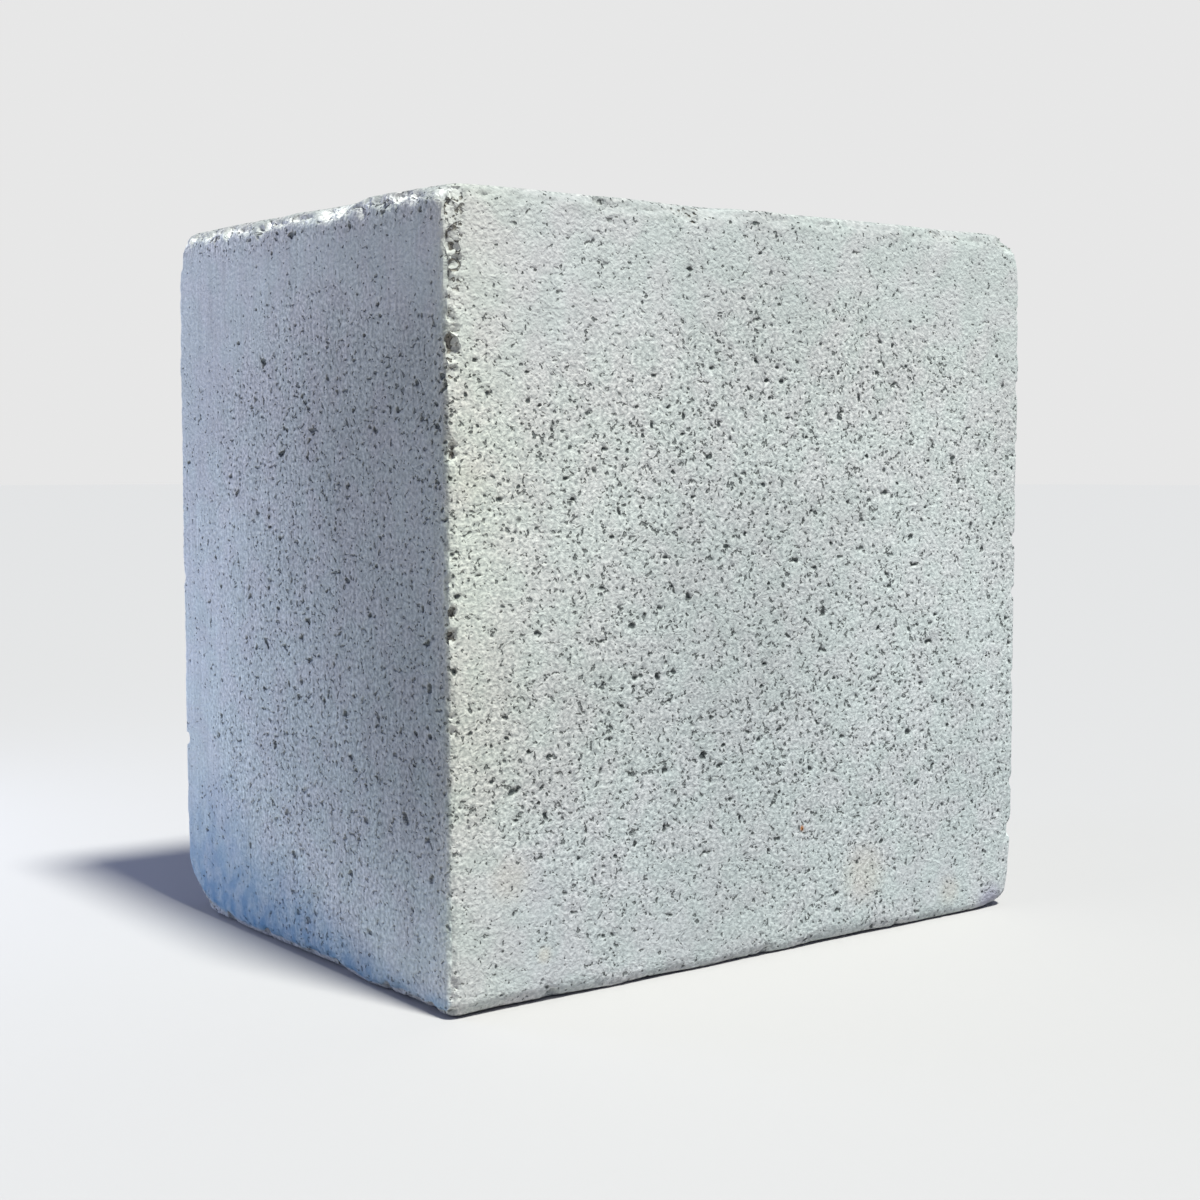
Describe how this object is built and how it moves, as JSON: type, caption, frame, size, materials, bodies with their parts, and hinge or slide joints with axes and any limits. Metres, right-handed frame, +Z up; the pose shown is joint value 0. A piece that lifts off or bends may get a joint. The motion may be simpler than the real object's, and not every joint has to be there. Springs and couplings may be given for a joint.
{
  "type": "concrete block",
  "caption": "Solid pressed-concrete half block for walling: a plain grey cuboid with flat, finely pitted faces and rounded, crumbled edges.",
  "frame": {"origin": "centre of the bottom bed face", "axes": "+X along the wall, towards the right end; +Y through the wall, from the front face to the back face; +Z up, from the bottom bed to the top bed"},
  "size_m": [0.19, 0.14, 0.19],
  "materials": {
    "pressed_concrete": "rough, finely pitted"
  },
  "bodies": {
    "root": {"half_block": "pressed_concrete"}
  },
  "joints": []
}
